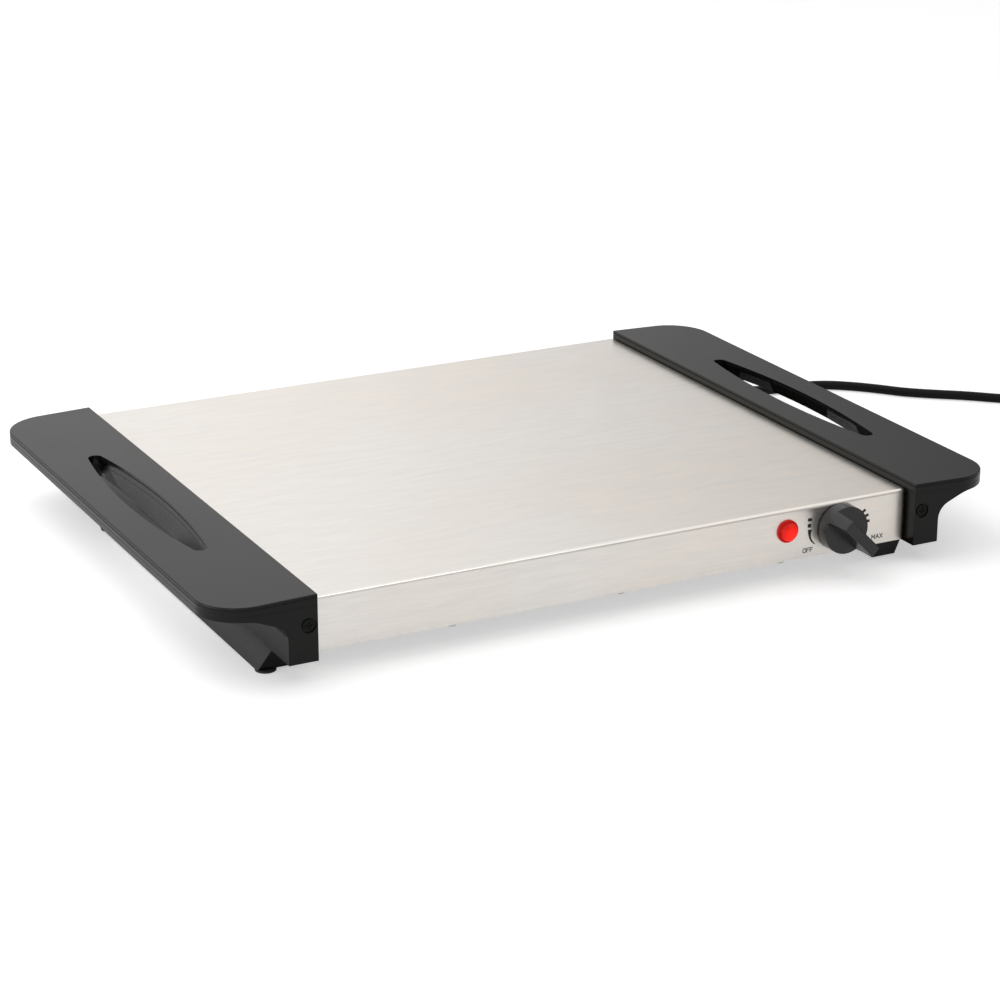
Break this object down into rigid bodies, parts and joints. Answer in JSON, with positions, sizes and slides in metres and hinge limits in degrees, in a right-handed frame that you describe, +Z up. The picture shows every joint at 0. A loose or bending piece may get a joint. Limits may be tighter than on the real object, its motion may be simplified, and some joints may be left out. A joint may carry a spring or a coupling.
{
  "type": "electric food warmer tray",
  "caption": "Low electric warming tray: brushed steel top, black slotted handles at both ends, rotary heat control with a lamp beside it, and a mains cord with a plug.",
  "frame": {"origin": "under the middle of the tray's outline with the control knob and without the cord, on the surface it stands on", "axes": "+X to the right along the tray's length, +Y to the back, +Z up; the control is on the front, towards -Y"},
  "size_m": [0.7929, 0.3576, 0.047],
  "materials": {
    "brushed_top": "brushed along its length",
    "zinc_sheet": "plain zinc-coated sheet",
    "zinc_screws": "zinc plated",
    "black_moulding": "fine matt",
    "rivet_aluminium": "plain",
    "black_rubber": "soft matt",
    "spreader_aluminium": "rolled",
    "mica": "pressed mica",
    "ribbon_metal": "oxidised resistance alloy",
    "terminal_brass": "turned",
    "ceramic": "fired ceramic",
    "blanket_fibre": "soft mineral fibre",
    "control_resin": "moulded resin",
    "red_lens": "clear red, glossy",
    "lamp_housing": "moulded",
    "fuse_case": "drawn case",
    "lead_brown": "insulated lead",
    "lead_blue": "insulated lead",
    "cord_black": "smooth flex",
    "pin_brass": "turned pins"
  },
  "bodies": {
    "tray": {"top_pan": "brushed_top", "bottom_cover": "zinc_sheet", "cover_screws": "zinc_screws", "handle_left": "black_moulding", "handle_right": "black_moulding", "handle_bracket_left": "zinc_sheet", "handle_bracket_right": "zinc_sheet", "handle_rivets": "rivet_aluminium", "handle_end_screws": "zinc_screws", "foot_pads": "black_rubber", "corner_foot_front": "black_moulding", "corner_foot_rear": "black_moulding", "foot_screws": "zinc_screws", "heat_spreader": "spreader_aluminium", "mica_upper": "mica", "heating_ribbon": "ribbon_metal", "mica_lower": "mica", "clamp_plate": "zinc_sheet", "clamp_studs": "zinc_screws", "clamp_nuts": "zinc_screws", "heater_terminals": "terminal_brass", "heater_bushings": "ceramic", "insulation_blanket": "blanket_fibre", "thermostat_bracket": "zinc_sheet", "thermostat_body": "control_resin", "bush_nut": "zinc_screws", "lamp_lens": "red_lens", "lamp_body": "lamp_housing", "lamp_clip": "zinc_screws", "thermal_fuse": "fuse_case", "fuse_clip": "zinc_sheet", "terminal_block": "ceramic", "lead_live": "lead_brown", "lead_switched": "lead_brown", "lead_fused": "lead_brown", "lead_neutral": "lead_blue", "lead_lamp": "lead_brown", "lead_lamp_return": "lead_blue", "cord_strain_relief": "cord_black", "cord_inner": "cord_black", "mains_cord": "cord_black", "cord_coil": "cord_black", "cord_end": "cord_black", "plug_body": "cord_black", "plug_pins": "pin_brass"},
    "control": {"control_knob": "black_moulding", "thermostat_spindle": "terminal_brass"}
  },
  "joints": [
    {"name": "control_turn", "type": "hinge", "parent": "tray", "child": "control", "pos_m": [0.1355, -0.1588, 0.0275], "axis": [0, 1, 0], "range_deg": [-75, 165]}
  ]
}
